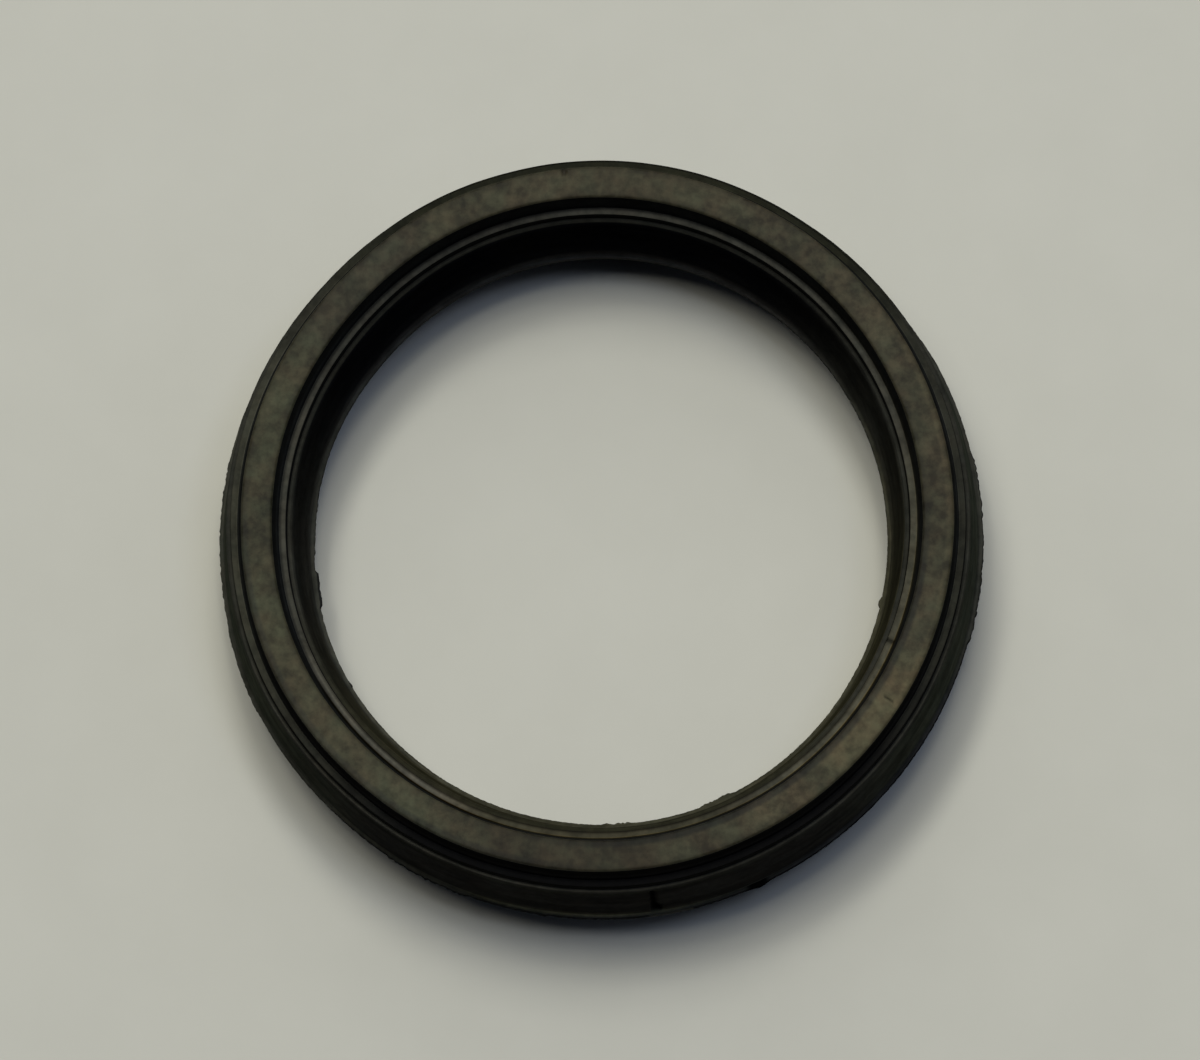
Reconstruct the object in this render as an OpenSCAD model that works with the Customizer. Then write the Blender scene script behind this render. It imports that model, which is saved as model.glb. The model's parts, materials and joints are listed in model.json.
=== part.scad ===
// Spark plug tube seal: one moulded rubber ring, in millimetres.
// Z is the ring's axis, and the flat underside lies on z = 0.
// Both sides of the section are alike: a flat land on top, a ledge beside it,
// a step down to a rounded shoulder, a wall that spreads on its way down to a
// thin fin of flash where the mould parted, and a plain foot below the fin that
// draws in again to the flat underside. The land sits a little outside the middle.

/* [Ring] */
// Diameter of the bore, at the edge of the inner fin
bore_d = 30.1; // [26:0.1:32]
// Diameter over the outer fin
outside_d = 40; // [38.4:0.1:46]
// Height from the underside to the land
height = 12; // [9:0.1:18]

/* [Land] */
// Width of the flat land on top
land_w = 1.57; // [1:0.01:2]
// Height of the land above the ledges
land_h = 1.45; // [0.8:0.05:2.5]
// Lean of the land's sides, in degrees
land_lean = 11; // [2:0.5:14]
// Radius of the land's edges
land_edge_r = 0.16; // [0.02:0.01:0.3]
// Radius of the hollow at the foot of the land
land_foot_r = 0.08; // [0.02:0.01:0.15]
// How far the land, the ledges and the shoulders sit outside the middle of the fins
land_shift = 0.07; // [0:0.01:0.2]

/* [Shoulders] */
// Width of the section across its two ledges
ledge_span = 2.85; // [2.6:0.01:3]
// Depth of the shoulders below the ledges
step_h = 0.65; // [0.1:0.05:1]
// Lean of the step, in degrees
step_lean = 5; // [2:0.5:12]
// Radius of the ledges' edges
ledge_edge_r = 0.04; // [0.01:0.01:0.1]
// Width of the section across its two shoulders
shoulder_w = 3.4; // [3.1:0.02:4]
// Radius of the shoulders
shoulder_r = 0.14; // [0.05:0.01:0.3]

/* [Fins] */
// Height of the fins above the underside
fin_z = 4; // [2:0.1:6]
// Width of the fin of flash along each wall
fin_w = 0.2; // [0.1:0.01:0.4]
// Thickness of the fins
fin_t = 0.4; // [0.1:0.05:0.8]
// Radius of the hollow between each wall and its fin
fin_root_r = 0.15; // [0.05:0.01:0.3]

/* [Foot] */
// Width of the section across its underside
foot_w = 3.2; // [2:0.05:4]
// Radius of the underside's edges
foot_r = 0.5; // [0.1:0.05:0.8]

/* [Hidden] */
// Facets round the ring, and steps in each rounded corner
ring_facets = 128;
corner_steps = 4;

// Half widths of the section, measured from its middle radius
middle_r = (outside_d + bore_d) / 4;
fin_half = (outside_d - bore_d) / 4;
wall_half = fin_half - fin_w;
shoulder_half = shoulder_w / 2;
ledge_half = ledge_span / 2;
step_foot_half = ledge_half + step_h * tan(step_lean);
land_half = land_w / 2;
foot_half = foot_w / 2;
land_foot_half = land_half + land_h * tan(land_lean);

// Heights of the ledges and of the shoulders below them
ledge_z = height - land_h;
shoulder_z = ledge_z - step_h;

// One half of the section from the underside up to the land: [x, z, corner radius].
// A radius is limited by the flat that it is cut from.
half_corners = [
    [foot_half, 0, min(foot_r, foot_half)],
    [wall_half, fin_z, min(fin_root_r, fin_w)],
    [fin_half, fin_z, 0],
    [fin_half, fin_z + fin_t, 0],
    [wall_half, fin_z + fin_t, min(fin_root_r, fin_w)],
    [shoulder_half, shoulder_z, min(shoulder_r, shoulder_half - step_foot_half)],
    [step_foot_half, shoulder_z, 0],
    [ledge_half, ledge_z, min(ledge_edge_r, step_h / 2)],
    [land_foot_half, ledge_z, min(land_foot_r, (ledge_half - land_foot_half) / 2)],
    [land_half, height, min(land_edge_r, land_half)]
];

// A corner on the outer side, 1, or the inner side, -1. What is above the fins is shifted.
function on_side(corner, side) =
    [side * corner[0] + (corner[1] > fin_z + fin_t ? land_shift : 0), corner[1], corner[2]];

// The whole section: the outer half upwards, then the inner half back down
section_corners = concat(
    [for (corner = half_corners) on_side(corner, 1)],
    [for (i = [len(half_corners) - 1 : -1 : 0]) on_side(half_corners[i], -1)]
);

function unit(v) = v / norm(v);

function shortest_turn(angle) =
    angle > 180 ? angle - 360 : angle < -180 ? angle + 360 : angle;

// Points of the arc that rounds a corner between its two neighbours
function corner_arc(before, corner, after, radius) =
    let (
        to_before = unit(before - corner),
        to_after = unit(after - corner),
        half_angle = acos(to_before * to_after) / 2,
        reach = radius / tan(half_angle),
        centre = corner + unit(to_before + to_after) * radius / sin(half_angle),
        first = corner + to_before * reach - centre,
        last = corner + to_after * reach - centre,
        start = atan2(first.y, first.x),
        turn = shortest_turn(atan2(last.y, last.x) - start)
    )
    [
        for (step = [0 : corner_steps])
            let (angle = start + turn * step / corner_steps)
            centre + radius * [cos(angle), sin(angle)]
    ];

// Outline through a closed list of corners, with each one rounded by its radius
function rounded(corners) =
    let (places = [for (corner = corners) [corner[0], corner[1]]], count = len(corners))
    [
        for (i = [0 : count - 1])
            let (
                before = places[(i + count - 1) % count],
                after = places[(i + 1) % count],
                radius = corners[i][2]
            )
            each (radius > 0 ? corner_arc(before, places[i], after, radius) : [places[i]])
    ];

// The whole ring, turned about the axis from its section
module seal_ring() {
    color([0.14, 0.14, 0.13])
        rotate_extrude($fn = ring_facets)
            translate([middle_r, 0])
                polygon(rounded(section_corners));
}

seal_ring();
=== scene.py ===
"""Looks of a moulded rubber seal ring that goes round a spark plug tube.

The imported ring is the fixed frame. A finer mesh of the same section stands for it here, with the
torn flash, nicks and mottled rubber of a used moulding, on a pale floor under soft studio light.
"""
import json
import logging
import math
from collections.abc import Sequence
from dataclasses import dataclass, field
from enum import Enum

import bpy
import numpy as np
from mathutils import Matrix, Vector


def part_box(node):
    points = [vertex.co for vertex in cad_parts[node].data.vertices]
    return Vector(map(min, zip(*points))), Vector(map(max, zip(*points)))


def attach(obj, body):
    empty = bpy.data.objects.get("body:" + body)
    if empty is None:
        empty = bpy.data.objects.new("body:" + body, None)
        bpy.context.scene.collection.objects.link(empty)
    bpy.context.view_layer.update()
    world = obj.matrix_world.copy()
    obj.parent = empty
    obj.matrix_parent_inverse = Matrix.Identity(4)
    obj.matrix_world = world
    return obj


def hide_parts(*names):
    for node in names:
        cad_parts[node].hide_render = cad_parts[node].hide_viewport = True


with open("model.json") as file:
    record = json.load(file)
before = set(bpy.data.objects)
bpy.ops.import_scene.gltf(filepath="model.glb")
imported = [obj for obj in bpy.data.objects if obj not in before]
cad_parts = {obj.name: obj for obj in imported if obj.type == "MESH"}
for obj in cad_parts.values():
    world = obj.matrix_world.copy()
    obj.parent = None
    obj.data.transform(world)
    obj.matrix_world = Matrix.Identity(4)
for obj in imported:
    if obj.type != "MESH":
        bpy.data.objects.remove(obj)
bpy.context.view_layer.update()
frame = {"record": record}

MM = 0.001
NODE = "seal_ring"
BODY = "root"

# Sockets of a Mix node that mixes two colours
MIX_A = 6
MIX_B = 7
MIX_RESULT = 2

Colour = tuple[float, float, float]
Span = tuple[float, float]
log = logging.getLogger("seal_ring")


class Side(Enum):
    """The two sides of the ring's section, as the sign of their distance from its middle."""

    OUTER = 1
    INNER = -1


class Zone(Enum):
    """Parts of the ring's surface that have a finish of their own, in material slot order."""

    LAND = 0
    LEDGE = 1
    # Painted shade: the shoulders' finish is darker than the ledges'
    SHOULDER = 2
    OUTER_WALL = 3
    BORE_WALL = 4
    FLASH = 5
    # Painted shade: the crevices' finish is darker than the rest
    SHADED_CREVICE = 6


@dataclass(frozen=True)
class Corner:
    """A corner of the section, in millimetres from its middle radius and from the floor."""

    x: float
    z: float
    radius: float = 0.0
    arc_steps: int = 4


@dataclass(frozen=True)
class RingSection:
    """Sizes of the ring's section, in millimetres."""

    outer_radius: float
    bore_radius: float
    height: float
    land_width: float = 1.57
    land_height: float = 1.45
    land_lean: float = 11.0
    land_edge: float = 0.16
    land_foot: float = 0.08
    land_shift: float = 0.07
    ledge_span: float = 2.85
    ledge_edge: float = 0.04
    step: float = 0.65
    step_lean: float = 5.0
    shoulder_width: float = 3.4
    shoulder_round: float = 0.14
    fin_z: float = 4.0
    fin_width: float = 0.2
    fin_thickness: float = 0.4
    fin_edge: float = 0.05
    fin_root: float = 0.15
    foot_width: float = 3.2
    foot_edge: float = 0.5

    @classmethod
    def from_frame(cls) -> "RingSection":
        """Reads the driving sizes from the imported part.

        Returns:
            The section, with its radii and height as packed.
        """
        low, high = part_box(NODE)
        bore = next(m for m in frame["record"]["mounts"] if m["name"] == "tube_bore")
        return cls((high[0] - low[0]) / 2 / MM, bore["dims"]["r_mm"], (high[2] - low[2]) / MM)

    @property
    def middle(self) -> float:
        """Radius of the section's middle."""
        return (self.outer_radius + self.bore_radius) / 2

    @property
    def fin_half(self) -> float:
        """Distance from the middle to the edge of a fin."""
        return (self.outer_radius - self.bore_radius) / 2

    @property
    def wall_half(self) -> float:
        """Distance from the middle to the foot of a wall."""
        return self.fin_half - self.fin_width

    @property
    def fin_top(self) -> float:
        """Height of the fins' upper face."""
        return self.fin_z + self.fin_thickness

    @property
    def ledge_z(self) -> float:
        """Height of the ledges."""
        return self.height - self.land_height

    @property
    def shoulder_z(self) -> float:
        """Height of the shoulders."""
        return self.ledge_z - self.step

    def half_corners(self) -> list[Corner]:
        """Walks one half of the section, before the upper part is shifted outwards.

        Returns:
            The corners from the underside up to the land.
        """
        side_run = self.land_height * math.tan(math.radians(self.land_lean))
        step_run = self.step * math.tan(math.radians(self.step_lean))
        land_half = self.land_width / 2
        ledge_half = self.ledge_span / 2
        return [
            Corner(self.foot_width / 2, 0.0, self.foot_edge, 3),
            Corner(self.wall_half, self.fin_z, self.fin_root, 1),
            Corner(self.fin_half, self.fin_z, self.fin_edge, 2),
            Corner(self.fin_half, self.fin_top, self.fin_edge, 2),
            Corner(self.wall_half, self.fin_top, self.fin_root, 4),
            Corner(self.shoulder_width / 2, self.shoulder_z, self.shoulder_round, 4),
            Corner(ledge_half + step_run, self.shoulder_z),
            Corner(ledge_half, self.ledge_z, self.ledge_edge, 2),
            Corner(land_half + side_run, self.ledge_z, self.land_foot, 2),
            Corner(land_half, self.height, self.land_edge, 5),
        ]

    def corners(self) -> list[Corner]:
        """Walks the whole section, with what is above the fins shifted outwards.

        Returns:
            The corners of the closed outline, outer half first.
        """
        half = self.half_corners()
        walk = [(corner, 1) for corner in half] + [(corner, -1) for corner in reversed(half)]
        shifts = [self.land_shift if corner.z > self.fin_top else 0.0 for corner, _ in walk]
        return [
            Corner(side * corner.x + shift, corner.z, corner.radius, corner.arc_steps)
            for (corner, side), shift in zip(walk, shifts)
        ]


@dataclass(frozen=True)
class FlashTab:
    """A stretch of flash that stands out from a fin's edge, or is torn back into it.

    The reach is in millimetres, the ends taper over some degrees, and ragged is the share of the
    reach by which its teeth differ.
    """

    side: Side
    start_deg: float
    end_deg: float
    reach: float
    taper_deg: float = 0.5
    ragged: float = 0.3


@dataclass(frozen=True)
class Patch:
    """A place on the ring: an angle with a width, between two radii and two heights in millimetres."""

    centre_deg: float
    width_deg: float
    radii: Span
    heights: Span

    def holds(self, radii: np.ndarray, heights: np.ndarray) -> np.ndarray:
        """Finds the vertices in the patch's band, at any angle.

        Args:
            radii: Every vertex's radius in millimetres.
            heights: Every vertex's height in millimetres.

        Returns:
            A mask with one entry for each vertex.
        """
        across = (radii > self.radii[0]) & (radii < self.radii[1])
        return across & (heights > self.heights[0]) & (heights < self.heights[1])


@dataclass(frozen=True)
class Nick(Patch):
    """A cut or dent: its points are pushed inwards and down, in millimetres."""

    inward: float = 0.0
    down: float = 0.0


@dataclass(frozen=True)
class StainAndPaintedLight(Patch):
    """A darker, lighter or tinted place, where the rubber's colour is multiplied by the tone. Some are the
    rubber's own uneven colour, and most are painted light and shade.
    """

    tone: Colour

    def strength(self, angles: np.ndarray) -> np.ndarray:
        """Works out how strong the tone is: full over its inner half, and fading to its ends.

        Args:
            angles: Angles in degrees, from 0 to 360.

        Returns:
            A share from 0 to 1 for each angle.
        """
        away = np.abs((angles - self.centre_deg + 180) % 360 - 180) / (self.width_deg / 2)
        share = np.clip(2 - 2 * away, 0, 1)
        return share * share * (3 - 2 * share)


@dataclass(frozen=True)
class ShadedTornEdge:
    """A stretch of a fin whose edge is torn, where the edge faces take the dark crevice finish as painted
    shade.
    """

    side: Side
    start_deg: float
    end_deg: float


@dataclass(frozen=True)
class Pull:
    """A soft pull on the whole ring, which leaves it a little out of round."""

    centre_deg: float
    outward: float
    spread: float


class MeshHand:
    """Selects and moves the points of one mesh by place, as by hand in edit mode."""

    def __init__(self, piece: bpy.types.Object) -> None:
        """Keeps the object whose mesh is worked on."""
        self.piece = piece

    @property
    def mesh(self) -> bpy.types.Mesh:
        """The object's mesh."""
        return self.piece.data

    def points(self) -> np.ndarray:
        """Reads the mesh.

        Returns:
            Every vertex's place, one row each, in metres.
        """
        places = np.empty(len(self.mesh.vertices) * 3)
        self.mesh.vertices.foreach_get("co", places)
        return places.reshape(-1, 3)

    def polar(self) -> tuple[np.ndarray, np.ndarray, np.ndarray]:
        """Reads the mesh as a turned shape.

        Returns:
            Every vertex's angle in degrees, and its radius and height in millimetres.
        """
        x, y, z = self.points().T
        return np.degrees(np.arctan2(y, x)) % 360, np.hypot(x, y) / MM, z / MM

    def select(self, chosen: np.ndarray) -> int:
        """Selects vertices.

        Args:
            chosen: A mask with one entry for each vertex.

        Returns:
            How many vertices are selected.
        """
        self.mesh.polygons.foreach_set("select", np.zeros(len(self.mesh.polygons), bool))
        self.mesh.edges.foreach_set("select", np.zeros(len(self.mesh.edges), bool))
        self.mesh.vertices.foreach_set("select", chosen)
        return int(chosen.sum())

    def select_edges(self, chosen: np.ndarray) -> None:
        """Selects edges and their ends.

        Args:
            chosen: A mask with one entry for each edge.
        """
        held = np.zeros(len(self.mesh.vertices), bool)
        held[self.edge_ends()[chosen]] = True
        self.select(held)
        self.mesh.edges.foreach_set("select", chosen)

    def edge_ends(self) -> np.ndarray:
        """Reads the mesh's edges.

        Returns:
            The two vertices of every edge, one row each.
        """
        ends = np.empty(len(self.mesh.edges) * 2, int)
        self.mesh.edges.foreach_get("vertices", ends)
        return ends.reshape(-1, 2)

    def edge_lengths(self) -> np.ndarray:
        """Measures the mesh.

        Returns:
            Every edge's length in millimetres.
        """
        first, last = self.edge_ends().T
        places = self.points()
        return np.linalg.norm(places[first] - places[last], axis=1) / MM

    def edit(self, mode: str = "VERT") -> None:
        """Enters edit mode with one kind of element to pick."""
        bpy.ops.object.mode_set(mode="EDIT")
        bpy.ops.mesh.select_mode(type=mode)

    def leave(self) -> None:
        """Goes back to object mode."""
        bpy.ops.object.mode_set(mode="OBJECT")

    def push_radially(self, chosen: np.ndarray, outward: float, radius: float) -> None:
        """Moves points along the ring's radius by scaling them about its axis.

        Args:
            chosen: A mask with one entry for each vertex.
            outward: How far they go, in millimetres.
            radius: The radius they start from, in millimetres.
        """
        if not self.select(chosen):
            return
        scale = 1 + outward / radius
        self.edit()
        bpy.ops.transform.resize(value=(scale, scale, 1), center_override=(0, 0, 0))
        self.leave()

    def push_down(self, chosen: np.ndarray, depth: float) -> None:
        """Lowers points.

        Args:
            chosen: A mask with one entry for each vertex.
            depth: How far they go, in millimetres.
        """
        if not self.select(chosen):
            return
        self.edit()
        bpy.ops.transform.translate(value=(0, 0, -depth * MM))
        self.leave()

    def pull(self, chosen: np.ndarray, move: Vector, spread: float) -> None:
        """Moves points and, less and less, all those near them.

        Args:
            chosen: A mask with one entry for each vertex.
            move: The way they go, in metres.
            spread: How far the pull is felt, in millimetres.
        """
        if not self.select(chosen):
            return
        self.edit()
        bpy.ops.transform.translate(
            value=move,
            use_proportional_edit=True,
            proportional_size=spread * MM,
            proportional_edit_falloff="SMOOTH",
        )
        self.leave()


def turn_between(angles: np.ndarray, start: float, end: float) -> np.ndarray:
    """Finds the angles in a stretch that may pass through zero.

    Args:
        angles: Angles in degrees, from 0 to 360.
        start: Where the stretch starts.
        end: Where it ends, going anticlockwise.

    Returns:
        A mask with one entry for each angle.
    """
    return (angles - start) % 360 <= (end - start) % 360


# Radii of the bands that stains lie on, in millimetres
LAND_RADII: Span = (16.5, 18.7)
INNER_LEDGE: Span = (16.1, 16.65)
OUTER_LEDGE: Span = (18.6, 19.06)
INNER_HOLLOW: Span = (16.3, 16.8)
INNER_SHOULDER: Span = (15.8, 16.15)
OUTER_SHOULDER: Span = (19.05, 19.45)
INNER_FIN: Span = (15.0, 15.4)
BORE: Span = (15.0, 16.2)

# Heights of those bands, in millimetres
LAND_HEIGHTS: Span = (11.7, 12.1)
LEDGE_HEIGHTS: Span = (10.5, 10.65)
LAND_SIDE: Span = (10.6, 11.84)
LAND_FOOT: Span = (10.56, 11.05)
SHOULDER_HEIGHTS: Span = (9.82, 9.95)
FIN_HEIGHTS: Span = (3.9, 4.6)
FOOT_HEIGHTS: Span = (0.0, 3.95)
ALL_ROUND = 720.0


@dataclass
class SealRing:
    """The rubber ring: its section is drawn, rounded and spun, then worn and dressed.

    Sizes are in millimetres and angles in degrees.
    """

    section: RingSection
    spin_steps: int = 900
    smooth_deg: float = 38.0
    merge_gap: float = 0.0005
    sliver: float = 0.01
    fin_margin: float = 0.1
    fine_spacing: float = 0.15
    step_spacing: float = 0.33
    wall_spacing: float = 0.6
    hidden_spacing: float = 2.0
    flash_seed: int = 5
    ripple_size: float = 2.5
    ripple_depth: float = 0.03
    tear_size: float = 0.17
    tear_depth: float = 0.06
    quiet_deg: Span = (60.0, 160.0)
    quiet_share: float = 0.4
    tab_inset: float = 0.04
    pull_grip_deg: float = 0.5
    pulls: Sequence[Pull] = (
        Pull(82.0, 0.05, 9.0),
        Pull(138.0, -0.13, 9.0),
        Pull(205.0, 0.1, 8.0),
        Pull(262.0, -0.04, 8.0),
    )
    tabs: Sequence[FlashTab] = (
        FlashTab(Side.OUTER, 344.0, 13.0, 0.08, 0.5, 0.4),
        FlashTab(Side.OUTER, 28.0, 62.0, -0.12, 8.0, 0.1),
        FlashTab(Side.OUTER, 165.0, 192.0, 0.03, 3.0, 1.0),
        FlashTab(Side.OUTER, 192.0, 208.0, 0.06, 2.0, 0.5),
        FlashTab(Side.OUTER, 236.0, 249.5, 0.05, 0.4, 0.8),
        FlashTab(Side.OUTER, 260.6, 262.0, 0.05, 0.3),
        FlashTab(Side.OUTER, 292.1, 296.5, 0.1, 2.0, 0.2),
        FlashTab(Side.INNER, 185.9, 193.4, 0.17, 0.4, 0.05),
        FlashTab(Side.INNER, 171.7, 182.8, 0.04, 0.5, 0.6),
        FlashTab(Side.INNER, 209.4, 210.9, 0.1, 0.6),
        FlashTab(Side.INNER, 270.0, 276.5, 0.05, 0.6, 0.9),
        FlashTab(Side.INNER, 289.9, 297.8, 0.08, 1.5, 0.5),
        FlashTab(Side.INNER, 346.0, 348.4, 0.13, 0.9, 0.2),
    )
    nicks: Sequence[Nick] = (
        Nick(278.75, 1.9, (19.0, 19.85), (4.45, 5.6), inward=0.12),
        Nick(278.4, 1.2, (18.9, 19.85), (4.45, 6.6), inward=0.08),
        Nick(278.25, 0.8, (18.7, 19.85), (4.45, 9.3), inward=0.08),
        Nick(95.4, 0.45, (18.05, 18.6), (11.6, 12.1), down=0.12),
        Nick(327.5, 0.4, (17.4, 18.0), (11.9, 12.1), down=0.07),
        Nick(337.3, 0.9, (16.2, 16.55), (10.4, 10.7), down=0.08),
    )
    shaded_torn_edges: Sequence[ShadedTornEdge] = (
        ShadedTornEdge(Side.OUTER, 225.0, 277.0),
        ShadedTornEdge(Side.OUTER, 284.0, 13.0),
        ShadedTornEdge(Side.INNER, 185.9, 193.4),
        ShadedTornEdge(Side.INNER, 209.4, 210.9),
    )
    stains_and_painted_light: Sequence[StainAndPaintedLight] = (
        # Lighter and darker places on the land, and painted shade and painted highlight along its two
        # rounded edges
        StainAndPaintedLight(45.0, 60.0, LAND_RADII, LAND_HEIGHTS, (1.1, 1.09, 1.1)),
        StainAndPaintedLight(85.0, 30.0, LAND_RADII, LAND_HEIGHTS, (0.88, 0.88, 0.88)),
        StainAndPaintedLight(135.0, 34.0, LAND_RADII, LAND_HEIGHTS, (0.84, 0.86, 0.92)),
        StainAndPaintedLight(208.0, 34.0, LAND_RADII, LAND_HEIGHTS, (1.1, 1.07, 1.06)),
        StainAndPaintedLight(267.0, 44.0, LAND_RADII, LAND_HEIGHTS, (0.7, 0.69, 0.7)),
        StainAndPaintedLight(303.0, 16.0, LAND_RADII, LAND_HEIGHTS, (1.33, 1.29, 1.26)),
        StainAndPaintedLight(324.0, 30.0, LAND_RADII, LAND_HEIGHTS, (1.43, 1.35, 1.26)),
        StainAndPaintedLight(195.0, 130.0, LAND_RADII, LAND_HEIGHTS, (1.0, 1.06, 1.04)),
        StainAndPaintedLight(312.0, 120.0, (16.6, 17.2), LAND_HEIGHTS, (0.56, 0.6, 0.7)),
        StainAndPaintedLight(220.0, 110.0, (18.05, 18.6), LAND_HEIGHTS, (0.75, 0.77, 0.86)),
        StainAndPaintedLight(0.0, 90.0, (18.1, 18.6), LAND_HEIGHTS, (1.3, 1.27, 1.22)),
        # The outer ledge: darker all round, with painted shadow on the near side, painted shade on the far
        # side and painted light on the left
        StainAndPaintedLight(0.0, ALL_ROUND, OUTER_LEDGE, LEDGE_HEIGHTS, (0.52, 0.53, 0.5)),
        StainAndPaintedLight(278.0, 140.0, OUTER_LEDGE, LEDGE_HEIGHTS, (0.14, 0.14, 0.19)),
        StainAndPaintedLight(85.0, 130.0, OUTER_LEDGE, LEDGE_HEIGHTS, (0.55, 0.57, 0.45)),
        StainAndPaintedLight(180.0, 70.0, OUTER_LEDGE, LEDGE_HEIGHTS, (1.5, 1.5, 1.45)),
        # The inner ledge: painted light and shade by angle, and painted shade along its inner edge and in
        # its hollow at the land's foot
        StainAndPaintedLight(335.0, 90.0, INNER_LEDGE, LEDGE_HEIGHTS, (1.4, 1.35, 1.2)),
        StainAndPaintedLight(128.0, 80.0, INNER_LEDGE, LEDGE_HEIGHTS, (0.66, 0.67, 0.7)),
        StainAndPaintedLight(85.0, 110.0, INNER_LEDGE, LEDGE_HEIGHTS, (0.85, 0.85, 0.87)),
        StainAndPaintedLight(228.0, 56.0, INNER_LEDGE, LEDGE_HEIGHTS, (1.75, 1.7, 1.68)),
        StainAndPaintedLight(270.0, 70.0, INNER_LEDGE, LEDGE_HEIGHTS, (0.95, 0.9, 0.72)),
        StainAndPaintedLight(270.0, 170.0, (16.1, 16.24), LEDGE_HEIGHTS, (0.22, 0.21, 0.19)),
        StainAndPaintedLight(130.0, 280.0, (16.43, 16.68), LEDGE_HEIGHTS, (0.4, 0.41, 0.43)),
        # The land's sides and feet: painted shade on the outer sides towards the near side, lighter along
        # the outer feet all round, and painted light and shade by angle in the inner hollow
        StainAndPaintedLight(270.0, 190.0, (18.3, 18.8), LAND_SIDE, (0.45, 0.42, 0.44)),
        StainAndPaintedLight(0.0, ALL_ROUND, (18.4, 18.8), LAND_FOOT, (1.9, 1.9, 2.0)),
        StainAndPaintedLight(170.0, 100.0, INNER_HOLLOW, LAND_FOOT, (1.7, 1.75, 1.8)),
        StainAndPaintedLight(231.0, 56.0, INNER_HOLLOW, LAND_FOOT, (0.4, 0.34, 0.2)),
        StainAndPaintedLight(292.0, 150.0, INNER_HOLLOW, LAND_FOOT, (1.3, 1.13, 0.78)),
        StainAndPaintedLight(0.0, 150.0, INNER_HOLLOW, LAND_FOOT, (1.3, 1.24, 1.1)),
        # The shoulders: painted shade on the inner one; on the outer one, over the near half, painted
        # shade either side of a painted highlight along its rounded edge, and painted shade over the far
        # half
        StainAndPaintedLight(262.0, 150.0, INNER_SHOULDER, SHOULDER_HEIGHTS, (0.72, 0.69, 0.5)),
        StainAndPaintedLight(90.0, 200.0, INNER_SHOULDER, SHOULDER_HEIGHTS, (0.65, 0.65, 0.65)),
        StainAndPaintedLight(270.0, 170.0, (19.05, 19.12), SHOULDER_HEIGHTS, (0.5, 0.5, 0.55)),
        StainAndPaintedLight(270.0, 170.0, (19.12, 19.23), SHOULDER_HEIGHTS, (1.5, 1.45, 1.4)),
        StainAndPaintedLight(270.0, 170.0, (19.23, 19.45), (9.6, 9.89), (0.6, 0.58, 0.62)),
        StainAndPaintedLight(85.0, 130.0, OUTER_SHOULDER, (9.0, 9.95), (0.3, 0.31, 0.24)),
        # The bore and its fin: painted shade on the far side and painted light on the near side
        StainAndPaintedLight(102.0, 168.0, BORE, (4.9, 9.8), (0.2, 0.21, 0.3)),
        StainAndPaintedLight(285.0, 200.0, BORE, (4.6, 9.8), (1.35, 1.28, 0.85)),
        StainAndPaintedLight(95.0, 150.0, INNER_FIN, FIN_HEIGHTS, (0.8, 0.78, 0.9)),
        StainAndPaintedLight(300.0, 200.0, INNER_FIN, FIN_HEIGHTS, (1.1, 1.04, 0.84)),
        # The outer wall and its fin: painted shade on the near side, a painted highlight along the fin's
        # root, and painted shade on the fin towards the right
        StainAndPaintedLight(270.0, 130.0, (18.9, 20.6), (4.5, 9.72), (0.44, 0.39, 0.5)),
        StainAndPaintedLight(268.0, 44.0, (19.75, 19.93), (4.3, 4.6), (2.2, 2.15, 1.8)),
        StainAndPaintedLight(318.0, 52.0, (19.75, 20.1), (4.0, 4.6), (0.8, 0.8, 0.95)),
        # The foot, as dark as the walls above it, with the same painted shade on the near outer side and
        # on the far bore side
        StainAndPaintedLight(0.0, ALL_ROUND, (15.0, 20.6), FOOT_HEIGHTS, (0.78, 0.72, 0.82)),
        StainAndPaintedLight(270.0, 130.0, (17.5, 20.6), FOOT_HEIGHTS, (0.56, 0.54, 0.6)),
        StainAndPaintedLight(102.0, 168.0, (15.0, 17.5), FOOT_HEIGHTS, (0.32, 0.33, 0.4)),
        # Painted shade in the cut in the wall, on the gate mark and in the nicks
        StainAndPaintedLight(278.7, 2.2, (18.6, 19.85), (4.45, 6.1), (0.06, 0.06, 0.06)),
        StainAndPaintedLight(278.3, 1.3, (18.6, 19.85), (5.7, 9.4), (0.15, 0.15, 0.15)),
        StainAndPaintedLight(294.3, 4.4, (19.82, 20.6), (3.9, 4.65), (0.05, 0.05, 0.06)),
        StainAndPaintedLight(95.4, 0.7, (18.0, 18.6), (11.6, 12.1), (0.5, 0.5, 0.5)),
        StainAndPaintedLight(327.5, 0.6, (17.4, 18.05), (11.9, 12.1), (0.4, 0.4, 0.4)),
        StainAndPaintedLight(337.3, 1.2, (16.1, 16.6), (10.4, 10.8), (0.3, 0.3, 0.3)),
    )
    tuck_deg: Span = (20.0, 160.0)
    tuck: float = 0.11
    tuck_ease: float = 0.25
    # Painted shade: the bore darkens from its lower part towards its top
    bore_shade_tone: Span = (1.0, 0.5)
    bore_shade_fade: Span = (4.5, 6.8)
    bore_margin: float = 0.1
    streak: float = 0.3
    streak_stops: int = 48
    # Painted shade: the land darkens towards its two rounded edges
    land_edge_shade_tone: float = 0.62
    land_edge_shade_fade: float = 0.36
    land_margin: float = 0.05
    hand: MeshHand = field(init=False)

    def build(self) -> bpy.types.Object:
        """Models the ring.

        Returns:
            The finished mesh object, at the origin.
        """
        self._start_outline()
        self._round_corners()
        self._divide_outline()
        self._spin()
        self._mark_zones()
        self._paint_tone()
        for pull in self.pulls:
            self._pull(pull)
        self._ripple()
        self._tear_fins()
        self._raise_tabs()
        self._tuck_shoulder()
        for nick in self.nicks:
            self._cut(nick)
        bpy.ops.object.shade_smooth_by_angle(angle=math.radians(self.smooth_deg))
        return self.hand.piece

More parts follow.
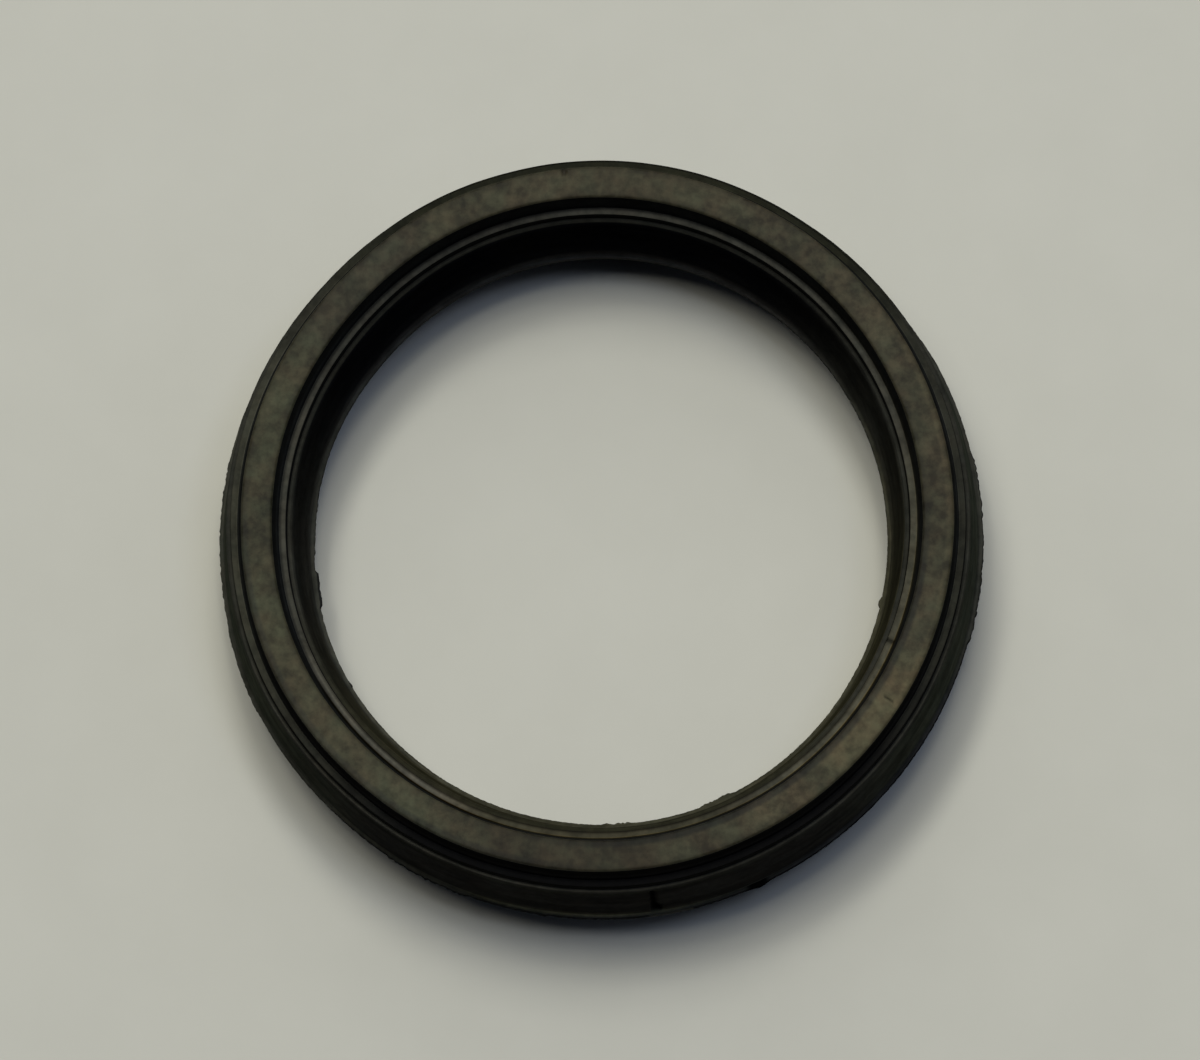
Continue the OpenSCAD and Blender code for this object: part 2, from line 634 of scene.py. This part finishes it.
    def dress(self, finishes: dict[Zone, bpy.types.Material]) -> None:
        """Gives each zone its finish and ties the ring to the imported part.

        Args:
            finishes: The material of each zone.
        """
        piece = self.hand.piece
        for zone in Zone:
            piece.data.materials.append(finishes[zone])
        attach(piece, BODY)
        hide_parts(NODE)

    def _start_outline(self) -> None:
        """Draws the section's sharp outline by extruding a point from corner to corner."""
        bpy.ops.object.select_all(action="DESELECT")
        bpy.ops.mesh.primitive_plane_add(size=MM, location=(0, 0, 0))
        piece = bpy.context.active_object
        piece.name = "rubber_seal_ring"
        piece.data.name = piece.name
        self.hand = MeshHand(piece)
        places = [self._place(corner) for corner in self.section.corners()]
        self.hand.edit()
        bpy.ops.mesh.select_all(action="SELECT")
        bpy.ops.mesh.merge(type="CENTER")
        bpy.ops.transform.translate(value=places[0])
        for before, after in zip(places, places[1:] + places[:1]):
            bpy.ops.mesh.extrude_region_move(TRANSFORM_OT_translate={"value": after - before})
        bpy.ops.mesh.select_all(action="SELECT")
        bpy.ops.mesh.remove_doubles(threshold=self.merge_gap * MM)
        self.hand.leave()

    def _place(self, corner: Corner) -> Vector:
        """Puts a corner of the section at its place in the scene, in metres."""
        return Vector((self.section.middle + corner.x, 0.0, corner.z)) * MM

    def _round_corners(self) -> None:
        """Bevels each corner of the outline by its own radius."""
        corners = self.section.corners()
        places = [self._place(corner) for corner in corners]
        for index, corner in enumerate(corners):
            if corner.radius <= 0:
                continue
            before = (places[index - 1] - places[index]).normalized()
            after = (places[(index + 1) % len(places)] - places[index]).normalized()
            reach = corner.radius / math.tan(before.angle(after) / 2)
            distances = np.linalg.norm(self.hand.points() - np.array(places[index]), axis=1)
            self.hand.select(distances == distances.min())
            self.hand.edit()
            bpy.ops.mesh.bevel(
                affect="VERTICES", offset=reach * MM, offset_type="OFFSET", segments=corner.arc_steps
            )
            self.hand.leave()

    def _divide_outline(self) -> None:
        """Divides the outline's long straight edges, so that the spun faces are small enough to wear."""
        fin = self.section.fin_z - self.fin_margin
        shoulder = self.section.shoulder_z - self.sliver
        ledge = self.section.ledge_z
        top = self.section.height
        for spacing, low, high in (
            (self.hidden_spacing, -self.sliver, fin),
            (self.wall_spacing, fin, shoulder),
            (self.step_spacing, shoulder, ledge - self.sliver),
            (self.fine_spacing, ledge - self.sliver, ledge + self.sliver),
            (self.step_spacing, ledge + self.sliver, top - self.sliver),
            (self.fine_spacing, top - self.sliver, top + self.sliver),
        ):
            self._divide_edges(spacing, low, high)

    def _divide_edges(self, spacing: float, low: float, high: float) -> None:
        """Divides the edges whose middle lies between two heights.

        Args:
            spacing: The longest edge that is left, in millimetres.
            low: The lower height, in millimetres.
            high: The upper height, in millimetres.
        """
        first, last = self.hand.edge_ends().T
        heights = self.hand.points()[:, 2] / MM
        middles = (heights[first] + heights[last]) / 2
        cuts = np.ceil(self.hand.edge_lengths() / spacing - 1e-6).astype(int) - 1
        cuts[(middles < low) | (middles >= high)] = 0
        long_edges = {pair: count for pair, count in zip(zip(first, last), cuts) if count > 0}
        for pair, count in long_edges.items():
            pairs = np.sort(self.hand.edge_ends(), axis=1)
            self.hand.select_edges((pairs == sorted(pair)).all(axis=1))
            self.hand.edit("EDGE")
            bpy.ops.mesh.subdivide(number_cuts=int(count))
            self.hand.leave()

    def _spin(self) -> None:
        """Spins the outline round the axis and closes the seam."""
        self.hand.edit()
        bpy.ops.mesh.select_all(action="SELECT")
        bpy.ops.mesh.spin(steps=self.spin_steps, angle=math.tau, center=(0, 0, 0), axis=(0, 0, 1))
        bpy.ops.mesh.select_all(action="SELECT")
        bpy.ops.mesh.remove_doubles(threshold=self.merge_gap * MM)
        bpy.ops.mesh.normals_make_consistent(inside=False)
        self.hand.leave()

    def _mark_zones(self) -> None:
        """Gives each face the material slot of the zone it lies in."""
        mesh = self.hand.mesh
        centres = np.empty(len(mesh.polygons) * 3)
        mesh.polygons.foreach_get("center", centres)
        x, y, z = centres.reshape(-1, 3).T / MM
        half = np.hypot(x, y) - self.section.middle
        zones = np.where(half > 0, Zone.OUTER_WALL.value, Zone.BORE_WALL.value)
        zones[z > self.section.shoulder_z - self.section.shoulder_round] = Zone.SHOULDER.value
        above_shoulder = z > self.section.shoulder_z + self.sliver
        zones[above_shoulder] = Zone.LEDGE.value
        land_z = self.section.height - self.section.land_edge
        side = (z > self.section.ledge_z + 2 * self.sliver) & (z < land_z)
        riser = above_shoulder & (z < self.section.ledge_z - self.section.ledge_edge)
        # Painted shade: the land's sides and the risers take the dark crevice finish
        zones[side | riser] = Zone.SHADED_CREVICE.value
        zones[z > land_z] = Zone.LAND.value
        low = self.section.fin_z - self.section.fin_root / 2
        zones[(z > low) & (z < self.section.fin_top + self.section.fin_root / 2)] = Zone.FLASH.value
        angles = np.degrees(np.arctan2(y, x)) % 360
        # Painted shade: along these stretches the fin's edge faces take the dark crevice finish
        for torn in self.shaded_torn_edges:
            edge = (half * torn.side.value > self.section.fin_half - 2 * self.section.fin_edge) & (z > low)
            edge &= (z < self.section.fin_top) & turn_between(angles, torn.start_deg, torn.end_deg)
            zones[edge] = Zone.SHADED_CREVICE.value
        mesh.polygons.foreach_set("material_index", zones)

    def _paint_tone(self) -> None:
        """Paints a tone on every vertex: turned streaks, painted shade on the land's edges and on the
        upper bore, and the listed places, some of them uneven colour and most painted light and shade.
        """
        angles, radii, heights = self.hand.polar()
        tones = np.repeat(self._streaks(angles, radii, heights)[:, None], 3, axis=1)
        across = radii - self.section.middle - self.section.land_shift
        # Painted shade: the bore is darkened towards its top
        bore = across < self.bore_margin - self.section.shoulder_width / 2
        bore &= heights < self.section.shoulder_z - self.section.shoulder_round
        tones[bore] *= np.interp(heights[bore], self.bore_shade_fade, self.bore_shade_tone)[:, None]
        # Painted shade: the land darkens towards its two rounded edges
        land = heights > self.section.height - self.section.land_edge - self.land_margin
        inset = self.section.land_width / 2 - np.abs(across[land])
        tones[land] *= np.interp(inset, (0.0, self.land_edge_shade_fade), (self.land_edge_shade_tone, 1.0))[:, None]
        # Uneven colour, and painted light and shade, one place after another
        for toned_place in self.stains_and_painted_light:
            inside = toned_place.holds(radii, heights)
            strength = toned_place.strength(angles[inside])
            tones[inside] *= 1 + (np.array(toned_place.tone) - 1) * strength[:, None]
        painted = self.hand.mesh.attributes.new("tone", "FLOAT_COLOR", "POINT")
        colours = np.concatenate([tones, np.ones((len(tones), 1))], axis=1)
        painted.data.foreach_set("color", colours.astype(np.float32).ravel())

    def _streaks(self, angles: np.ndarray, radii: np.ndarray, heights: np.ndarray) -> np.ndarray:
        """Shades the walls in the rows that a turned mould leaves.

        Args:
            angles: Every vertex's angle in degrees.
            radii: Every vertex's radius in millimetres.
            heights: Every vertex's height in millimetres.

        Returns:
            A shade for each vertex, 1 where there is no streak.
        """
        shades = np.ones(len(angles))
        rng = np.random.default_rng(self.flash_seed)
        stops = np.arange(self.streak_stops) * 360 / self.streak_stops
        wall = (heights > self.section.fin_top) & (heights < self.section.shoulder_z)
        outer = radii > self.section.middle
        for row in np.unique(np.round(heights[wall], 2)):
            for side in (outer, ~outer):
                held = wall & side & (np.round(heights, 2) == row)
                drift = np.interp(angles[held], stops, rng.uniform(-1, 1, len(stops)), period=360)
                shades[held] = 1 + self.streak * drift
        return shades

    def _pull(self, pull: Pull) -> None:
        """Pulls the ring a little out of round.

        Args:
            pull: Where it is pulled and how far.
        """
        angles, _, _ = self.hand.polar()
        turn = math.radians(pull.centre_deg)
        move = Vector((math.cos(turn), math.sin(turn), 0.0)) * pull.outward * MM
        grip = self.pull_grip_deg
        chosen = turn_between(angles, pull.centre_deg - grip, pull.centre_deg + grip)
        self.hand.pull(chosen, move, pull.spread)

    def _weigh(self, name: str, weights: np.ndarray) -> None:
        """Keeps a weight for each vertex in a vertex group, to the nearest hundredth.

        Args:
            name: The group's name.
            weights: A weight from 0 to 1 for each vertex.
        """
        weights = np.round(np.clip(weights, 0, 1), 2)
        group = self.hand.piece.vertex_groups.new(name=name)
        for level in np.unique(weights[weights > 0]):
            group.add(np.flatnonzero(weights == level).tolist(), float(level), "REPLACE")

    def _displace(self, name: str, size: float, depth: float, weights: np.ndarray) -> None:
        """Roughens the weighted vertices with cloud noise and applies the result.

        Args:
            name: The name of the noise and of its weights.
            size: The size of its bumps, in millimetres.
            depth: The height from the deepest to the highest, in millimetres.
            weights: A weight from 0 to 1 for each vertex.
        """
        self._weigh(name, weights)
        noise = bpy.data.textures.new(name, type="CLOUDS")
        noise.noise_scale = size * MM
        noise.noise_depth = 2
        rough = self.hand.piece.modifiers.new(name, "DISPLACE")
        rough.texture = noise
        rough.texture_coords = "LOCAL"
        rough.vertex_group = name
        rough.mid_level = 0.5
        rough.strength = depth * MM
        bpy.ops.object.modifier_apply(modifier=name)

    def _ripple(self) -> None:
        """Makes the moulded faces a little uneven, apart from the underside that the ring lies on."""
        _, _, heights = self.hand.polar()
        weights = np.where(heights > self.section.foot_edge, 1.0, 0.0)
        self._displace("moulding_ripple", self.ripple_size, self.ripple_depth, weights)

    def _tear_fins(self) -> None:
        """Tears the edges of both fins, less along the quiet stretch."""
        angles, radii, _ = self.hand.polar()
        half = np.abs(radii - self.section.middle)
        edge = half > self.section.fin_half - self.section.fin_width / 2
        quiet = turn_between(angles, *self.quiet_deg)
        weights = np.where(edge, np.where(quiet, self.quiet_share, 1.0), 0.0)
        self._displace("flash_tear", self.tear_size, self.tear_depth, weights)

    def _cast(self, name: str, radius: float, weights: np.ndarray) -> None:
        """Moves the weighted vertices along the ring's radius towards a cylinder and applies the result.

        Args:
            name: The name of the move and of its weights.
            radius: The cylinder's radius, in millimetres.
            weights: The share of the way that each vertex goes.
        """
        self._weigh(name, weights)
        move = self.hand.piece.modifiers.new(name, "CAST")
        move.cast_type = "CYLINDER"
        move.vertex_group = name
        move.use_z = False
        move.factor = 1.0
        move.use_radius_as_size = False
        move.size = radius * MM
        bpy.ops.object.modifier_apply(modifier=name)

    def _raise_tabs(self) -> None:
        """Pushes stretches of the fins' edges outwards, or back, from the section's middle."""
        angles, radii, _ = self.hand.polar()
        rng = np.random.default_rng(self.flash_seed)
        teeth = rng.uniform(-1, 1, self.spin_steps)
        tooth = np.interp(angles, np.arange(self.spin_steps) * 360 / self.spin_steps, teeth, period=360)
        for side in Side:
            half = (radii - self.section.middle) * side.value
            start = self.section.wall_half + self.tab_inset
            end = self.section.fin_half - self.tab_inset
            edge = np.interp(half, (start, end), (0.0, 1.0))
            reach = np.zeros(len(angles))
            for tab in (tab for tab in self.tabs if tab.side is side):
                along = (angles - tab.start_deg) % 360
                length = (tab.end_deg - tab.start_deg) % 360
                taper = np.clip(np.minimum(along, length - along) / tab.taper_deg, 0, 1)
                reach += tab.reach * taper * (1 + tab.ragged * tooth)
            rim = self.section.middle + side.value * self.section.fin_half
            name = side.name.lower()
            # The cylinders lie one millimetre off, so a weight is a reach in millimetres
            self._cast(f"flash_out_{name}", rim + side.value, np.clip(reach, 0, 1) * edge)
            self._cast(f"flash_back_{name}", rim - side.value, np.clip(-reach, 0, 1) * edge)

    def _tuck_shoulder(self) -> None:
        """Draws the outer shoulder in along the stretch where the ring leans."""
        angles, radii, heights = self.hand.polar()
        start, end = self.tuck_deg
        along = (angles - start) % 360
        length = (end - start) % 360
        ease = np.clip(np.minimum(along, length - along) / (length * self.tuck_ease), 0, 1)
        outer = radii > self.section.middle + self.section.ledge_span / 2
        rise = np.interp(heights, (self.section.fin_top, self.section.shoulder_z), (0.0, 1.0))
        weights = np.where(outer, ease * rise * self.tuck, 0.0)
        # The cylinder lies one millimetre inside, so a weight is a reach in millimetres
        self._cast("shoulder_tuck", self.section.middle + self.section.shoulder_width / 2 - 1.0, weights)

    def _cut(self, nick: Nick) -> None:
        """Cuts a nick into the surface.

        Args:
            nick: Where it lies and how far its points go.
        """
        angles, radii, heights = self.hand.polar()
        reach = nick.width_deg / 2
        chosen = turn_between(angles, nick.centre_deg - reach, nick.centre_deg + reach)
        chosen &= nick.holds(radii, heights)
        if nick.inward:
            self.hand.push_radially(chosen, -nick.inward, sum(nick.radii) / 2)
        if nick.down:
            self.hand.push_down(chosen, nick.down)


@dataclass(frozen=True)
class RubberFinish:
    """How one zone of the rubber looks: colours are linear, and sizes are in millimetres."""

    name: str
    dark: Colour
    light: Colour
    roughness: Span
    specular: float
    warm: Colour = (1.03, 0.98, 0.95)
    cloud_size: float = 8.0
    blotch_size: float = 1.5
    fleck_size: float = 0.45
    grain_size: float = 0.12
    grain_depth: float = 0.012
    grain_strength: float = 0.6


@dataclass(frozen=True)
class MottleLayer:
    """One size of noise in the mottle: the input that scales it, its detail and its share."""

    scale: str
    detail: float
    share: float


MOTTLE_LAYERS = (
    MottleLayer("Cloud Scale", 1.0, 0.24),
    MottleLayer("Blotch Scale", 2.0, 0.36),
    MottleLayer("Fleck Scale", 3.0, 0.4),
)
# The part of the noise's range that is stretched from dark to light
NOISE_SPAN: Span = (0.36, 0.64)
# How far the hue's noise lies from the shade's, so that they don't match
HUE_OFFSET = (0.31, 0.17, 0.0)


class NodeBoard:
    """Places and joins the nodes of one tree."""

    def __init__(self, tree: bpy.types.NodeTree) -> None:
        """Keeps the tree that is worked on, emptied of what it held."""
        self.tree = tree
        tree.nodes.clear()

    def node(self, kind: str, settings: dict | None = None, **values: object) -> bpy.types.Node:
        """Adds a node.

        Args:
            kind: The node's type name.
            settings: Properties of the node itself.
            values: Values of its inputs, by name, with spaces as underscores.

        Returns:
            The new node.
        """
        made = self.tree.nodes.new(kind)
        for key, value in (settings or {}).items():
            setattr(made, key, value)
        for key, value in values.items():
            made.inputs[key.replace("_", " ")].default_value = value
        return made

    def join(self, source: bpy.types.NodeSocket, target: bpy.types.NodeSocket) -> None:
        """Links an output to an input."""
        self.tree.links.new(source, target)


class RubberShop:
    """Makes the rubber finishes from two effects that they share."""

    def __init__(self) -> None:
        """Builds the shared effects."""
        self.mottle = self._mottle_group()
        self.grain = self._grain_group()

    @staticmethod
    def _group(name: str, inputs: Sequence[tuple[str, str]], outputs: Sequence[str]) -> bpy.types.NodeTree:
        """Starts a node group.

        Args:
            name: The group's name.
            inputs: The name and socket type of each input.
            outputs: The name of each output, all of them values.

        Returns:
            The group, with its sockets.
        """
        tree = bpy.data.node_groups.new(name, "ShaderNodeTree")
        for socket, kind in inputs:
            tree.interface.new_socket(socket, in_out="INPUT", socket_type=kind)
        for socket in outputs:
            tree.interface.new_socket(socket, in_out="OUTPUT", socket_type="NodeSocketFloat")
        return tree

    def _mottle_group(self) -> bpy.types.NodeTree:
        """Builds the soft clouds, blotches and flecks of aged rubber, and where its hue turns warm.

        Returns:
            A group that puts out a shade and a mask.
        """
        scales = [(layer.scale, "NodeSocketFloat") for layer in MOTTLE_LAYERS]
        tree = self._group("rubber_mottle", [("Vector", "NodeSocketVector"), *scales], ["Shade", "Warm"])
        board = NodeBoard(tree)
        given = board.node("NodeGroupInput")
        made = board.node("NodeGroupOutput")
        low, high = NOISE_SPAN
        total = None
        for layer in MOTTLE_LAYERS:
            noise = board.node("ShaderNodeTexNoise", Detail=layer.detail, Roughness=0.6)
            stretch = board.node("ShaderNodeMapRange", From_Min=low, From_Max=high, To_Max=layer.share)
            board.join(given.outputs["Vector"], noise.inputs["Vector"])
            board.join(given.outputs[layer.scale], noise.inputs["Scale"])
            board.join(noise.outputs["Fac"], stretch.inputs["Value"])
            if total is None:
                total = stretch.outputs["Result"]
            else:
                added = board.node("ShaderNodeMath", {"operation": "ADD"})
                board.join(total, added.inputs[0])
                board.join(stretch.outputs["Result"], added.inputs[1])
                total = added.outputs[0]
        board.join(total, made.inputs["Shade"])
        moved = board.node("ShaderNodeVectorMath", {"operation": "ADD"})
        moved.inputs[1].default_value = HUE_OFFSET
        hue = board.node("ShaderNodeTexNoise", Detail=2.0, Roughness=0.6)
        spread = board.node("ShaderNodeMapRange", From_Min=low, From_Max=high)
        board.join(given.outputs["Vector"], moved.inputs[0])
        board.join(moved.outputs["Vector"], hue.inputs["Vector"])
        board.join(given.outputs["Blotch Scale"], hue.inputs["Scale"])
        board.join(hue.outputs["Fac"], spread.inputs["Value"])
        board.join(spread.outputs["Result"], made.inputs["Warm"])
        return tree

    def _grain_group(self) -> bpy.types.NodeTree:
        """Builds the fine grain that a worn mould leaves.

        Returns:
            A group that puts out a height.
        """
        tree = self._group(
            "mould_grain", [("Vector", "NodeSocketVector"), ("Scale", "NodeSocketFloat")], ["Height"]
        )
        board = NodeBoard(tree)
        given = board.node("NodeGroupInput")
        made = board.node("NodeGroupOutput")
        noise = board.node("ShaderNodeTexNoise", Detail=5.0, Roughness=0.65)
        board.join(given.outputs["Vector"], noise.inputs["Vector"])
        board.join(given.outputs["Scale"], noise.inputs["Scale"])
        board.join(noise.outputs["Fac"], made.inputs["Height"])
        return tree

    def material(self, finish: RubberFinish) -> bpy.types.Material:
        """Makes one rubber material.

        Args:
            finish: How it looks.

        Returns:
            The material.
        """
        made = bpy.data.materials.new(finish.name)
        made.use_nodes = True
        board = NodeBoard(made.node_tree)
        place = board.node("ShaderNodeTexCoord")
        mottle = board.node("ShaderNodeGroup", {"node_tree": self.mottle})
        mottle.inputs["Cloud Scale"].default_value = 1 / (finish.cloud_size * MM)
        mottle.inputs["Blotch Scale"].default_value = 1 / (finish.blotch_size * MM)
        mottle.inputs["Fleck Scale"].default_value = 1 / (finish.fleck_size * MM)
        grain = board.node("ShaderNodeGroup", {"node_tree": self.grain})
        grain.inputs["Scale"].default_value = 1 / (finish.grain_size * MM)
        shade = board.node("ShaderNodeMix", {"data_type": "RGBA"})
        shade.inputs[MIX_A].default_value = (*finish.dark, 1.0)
        shade.inputs[MIX_B].default_value = (*finish.light, 1.0)
        warmed = board.node("ShaderNodeMix", {"data_type": "RGBA", "blend_type": "MULTIPLY"})
        warmed.inputs[MIX_B].default_value = (*finish.warm, 1.0)
        # The painted tone carries uneven colour and painted light and shade
        painted = board.node("ShaderNodeAttribute", {"attribute_name": "tone"})
        toned = board.node("ShaderNodeMix", {"data_type": "RGBA", "blend_type": "MULTIPLY"}, Factor=1.0)
        gloss = board.node("ShaderNodeMapRange", To_Min=finish.roughness[0], To_Max=finish.roughness[1])
        bump = board.node(
            "ShaderNodeBump", Strength=finish.grain_strength, Distance=finish.grain_depth * MM
        )
        rubber = board.node("ShaderNodeBsdfPrincipled", Specular_IOR_Level=finish.specular)
        output = board.node("ShaderNodeOutputMaterial")
        board.join(place.outputs["Object"], mottle.inputs["Vector"])
        board.join(place.outputs["Object"], grain.inputs["Vector"])
        board.join(mottle.outputs["Shade"], shade.inputs["Factor"])
        board.join(shade.outputs[MIX_RESULT], warmed.inputs[MIX_A])
        board.join(mottle.outputs["Warm"], warmed.inputs["Factor"])
        board.join(warmed.outputs[MIX_RESULT], toned.inputs[MIX_A])
        board.join(painted.outputs["Color"], toned.inputs[MIX_B])
        board.join(toned.outputs[MIX_RESULT], rubber.inputs["Base Color"])
        board.join(mottle.outputs["Shade"], gloss.inputs["Value"])
        board.join(gloss.outputs["Result"], rubber.inputs["Roughness"])
        board.join(grain.outputs["Height"], bump.inputs["Height"])
        board.join(bump.outputs["Normal"], rubber.inputs["Normal"])
        board.join(rubber.outputs["BSDF"], output.inputs["Surface"])
        return made


FINISHES: dict[Zone, RubberFinish] = {
    Zone.LAND: RubberFinish(
        "land_rubber",
        (0.0122, 0.0115, 0.0056),
        (0.0625, 0.0624, 0.0362),
        (0.6, 0.75),
        0.1,
        warm=(1.13, 0.96, 0.96),
    ),
    Zone.LEDGE: RubberFinish(
        "ledge_rubber", (0.0205, 0.0210, 0.0160), (0.0600, 0.0600, 0.0460), (0.6, 0.75), 0.03
    ),
    # Painted shade: the shoulders have a darker copy of the ledge's rubber
    Zone.SHOULDER: RubberFinish(
        "shoulder_rubber", (0.0140, 0.0146, 0.0112), (0.0320, 0.0330, 0.0260), (0.65, 0.75), 0.02
    ),
    Zone.OUTER_WALL: RubberFinish(
        "outer_wall_rubber", (0.0236, 0.0268, 0.0203), (0.0482, 0.0540, 0.0406), (0.7, 0.8), 0.0
    ),
    Zone.BORE_WALL: RubberFinish(
        "bore_rubber", (0.0238, 0.0243, 0.0205), (0.0468, 0.0476, 0.0400), (0.7, 0.8), 0.0
    ),
    Zone.FLASH: RubberFinish(
        "flash_rubber", (0.0215, 0.0228, 0.0178), (0.0465, 0.0485, 0.0380), (0.7, 0.8), 0.01
    ),
    # Painted shade: a darker copy of the rubber, for the land's sides, the risers and shaded fin edges
    Zone.SHADED_CREVICE: RubberFinish(
        "crevice_rubber", (0.0076, 0.0081, 0.0074), (0.0152, 0.0162, 0.0148), (0.8, 0.9), 0.0
    ),
}


@dataclass(frozen=True)
class SoftLamp:
    """A round soft lamp one metre from the ring: its slope from upright, width in degrees and power."""

    name: str
    slope: Span
    width_deg: float
    watts: float
    colour: Colour
    distance: float = 1.0

    def add(self) -> bpy.types.Object:
        """Adds the lamp.

        Returns:
            The lamp object.
        """
        way = Vector((*self.slope, 1.0)).normalized()
        bpy.ops.object.light_add(type="AREA", location=way * self.distance)
        lamp = bpy.context.active_object
        lamp.name = self.name
        lamp.rotation_mode = "QUATERNION"
        lamp.rotation_quaternion = way.to_track_quat("Z", "Y")
        lamp.data.shape = "DISK"
        lamp.data.size = 2 * self.distance * math.tan(math.radians(self.width_deg) / 2)
        lamp.data.energy = self.watts
        lamp.data.color = self.colour
        return lamp


WARM: Colour = (1.015, 1.0, 0.965)
COOL: Colour = (0.84, 0.97, 1.36)


@dataclass
class Studio:
    """The floor, the lamps and the dim light that comes from all round."""

    floor_size: float = 3.0
    floor_gap: float = 0.02
    floor_dark: Colour = (0.456, 0.453, 0.386)
    floor_light: Colour = (0.493, 0.490, 0.420)
    floor_patch: float = 6.0
    ambient: Colour = (0.0030, 0.0036, 0.0062)
    backdrop: Colour = (0.47, 0.47, 0.41)
    lamps: Sequence[SoftLamp] = (
        SoftLamp("arch_left_low", (-0.200, 0.077), 10.8, 1.23, WARM),
        SoftLamp("arch_left_mid", (-0.190, 0.219), 8.9, 1.35, WARM),
        SoftLamp("arch_left_high", (-0.143, 0.322), 7.4, 1.27, WARM),
        SoftLamp("arch_top", (-0.022, 0.450), 11.0, 1.64, WARM),
        SoftLamp("arch_right_high", (0.080, 0.324), 9.2, 1.07, WARM),
        SoftLamp("arch_right_mid", (0.108, 0.203), 9.7, 1.44, WARM),
        SoftLamp("arch_right_low", (0.241, 0.054), 11.8, 0.98, COOL),
        SoftLamp("broad_back", (-0.110, 0.840), 38.0, 1.70, WARM),
        SoftLamp("broad_left", (-0.85, 0.25), 50.0, 0.33, COOL),
        SoftLamp("broad_right", (0.85, 0.25), 50.0, 0.66, COOL),
    )

    def build(self) -> None:
        """Makes the floor, the lamps and the world."""
        self._floor()
        for lamp in self.lamps:
            lamp.add()
            log.info("lamp %s, %.2f W", lamp.name, lamp.watts)
        self._world()

    def _floor(self) -> None:
        """Lays a plain pale floor just under the ring."""
        bpy.ops.object.select_all(action="DESELECT")
        bpy.ops.mesh.primitive_plane_add(size=self.floor_size, location=(0, 0, -self.floor_gap * MM))
        floor = bpy.context.active_object
        floor.name = "pale_floor"
        bpy.ops.object.transform_apply(location=True)
        paint = bpy.data.materials.new("pale_floor")
        paint.use_nodes = True
        board = NodeBoard(paint.node_tree)
        place = board.node("ShaderNodeTexCoord")
        scale = 1 / (self.floor_patch * MM)
        noise = board.node("ShaderNodeTexNoise", Scale=scale, Detail=6.0, Roughness=0.6)
        tone = board.node("ShaderNodeMix", {"data_type": "RGBA"})
        tone.inputs[MIX_A].default_value = (*self.floor_dark, 1.0)
        tone.inputs[MIX_B].default_value = (*self.floor_light, 1.0)
        matt = board.node("ShaderNodeBsdfPrincipled", Roughness=0.9, Specular_IOR_Level=0.0)
        output = board.node("ShaderNodeOutputMaterial")
        board.join(place.outputs["Object"], noise.inputs["Vector"])
        board.join(noise.outputs["Fac"], tone.inputs["Factor"])
        board.join(tone.outputs[MIX_RESULT], matt.inputs["Base Color"])
        board.join(matt.outputs["BSDF"], output.inputs["Surface"])
        floor.data.materials.append(paint)

    def _world(self) -> None:
        """Fills the room with dim light, behind a backdrop as pale as the floor."""
        world = bpy.data.worlds.new("studio")
        bpy.context.scene.world = world
        world.use_nodes = True
        board = NodeBoard(world.node_tree)
        path = board.node("ShaderNodeLightPath")
        dim = board.node("ShaderNodeBackground", Color=(*self.ambient, 1.0), Strength=1.0)
        pale = board.node("ShaderNodeBackground", Color=(*self.backdrop, 1.0), Strength=1.0)
        choice = board.node("ShaderNodeMixShader")
        output = board.node("ShaderNodeOutputWorld")
        board.join(path.outputs["Is Camera Ray"], choice.inputs[0])
        board.join(dim.outputs["Background"], choice.inputs[1])
        board.join(pale.outputs["Background"], choice.inputs[2])
        board.join(choice.outputs["Shader"], output.inputs["Surface"])


@dataclass(frozen=True)
class PhotoCamera:
    """A long lens nearly over the ring: places in millimetres, angles in degrees."""

    eye: tuple[float, float, float] = (10.46, -65.44, 419.0)
    tilt: float = 9.04
    pan: float = 1.45
    focal_pixels: float = 8000.0
    frame_width: float = 1200.0
    sensor: float = 36.0
    clip_start: float = 0.01

    def build(self) -> None:
        """Makes the camera and gives it to the scene."""
        bpy.ops.object.camera_add(
            location=Vector(self.eye) * MM, rotation=(math.radians(self.tilt), math.radians(self.pan), 0.0)
        )
        camera = bpy.context.active_object
        camera.name = "photo_camera"
        camera.data.sensor_fit = "HORIZONTAL"
        camera.data.sensor_width = self.sensor
        camera.data.lens = self.focal_pixels / self.frame_width * self.sensor
        camera.data.clip_start = self.clip_start
        bpy.context.scene.camera = camera


def main() -> None:
    """Builds the camera, the ring with its finishes, and the studio."""
    logging.basicConfig(level=logging.INFO, format="%(name)s: %(message)s")
    bpy.context.scene.view_settings.view_transform = "Standard"
    PhotoCamera().build()
    ring = SealRing(RingSection.from_frame())
    piece = ring.build()
    shop = RubberShop()
    ring.dress({zone: shop.material(finish) for zone, finish in FINISHES.items()})
    log.info("piece %s, %d faces", piece.name, len(piece.data.polygons))
    Studio().build()


if __name__ == "__main__":
    main()
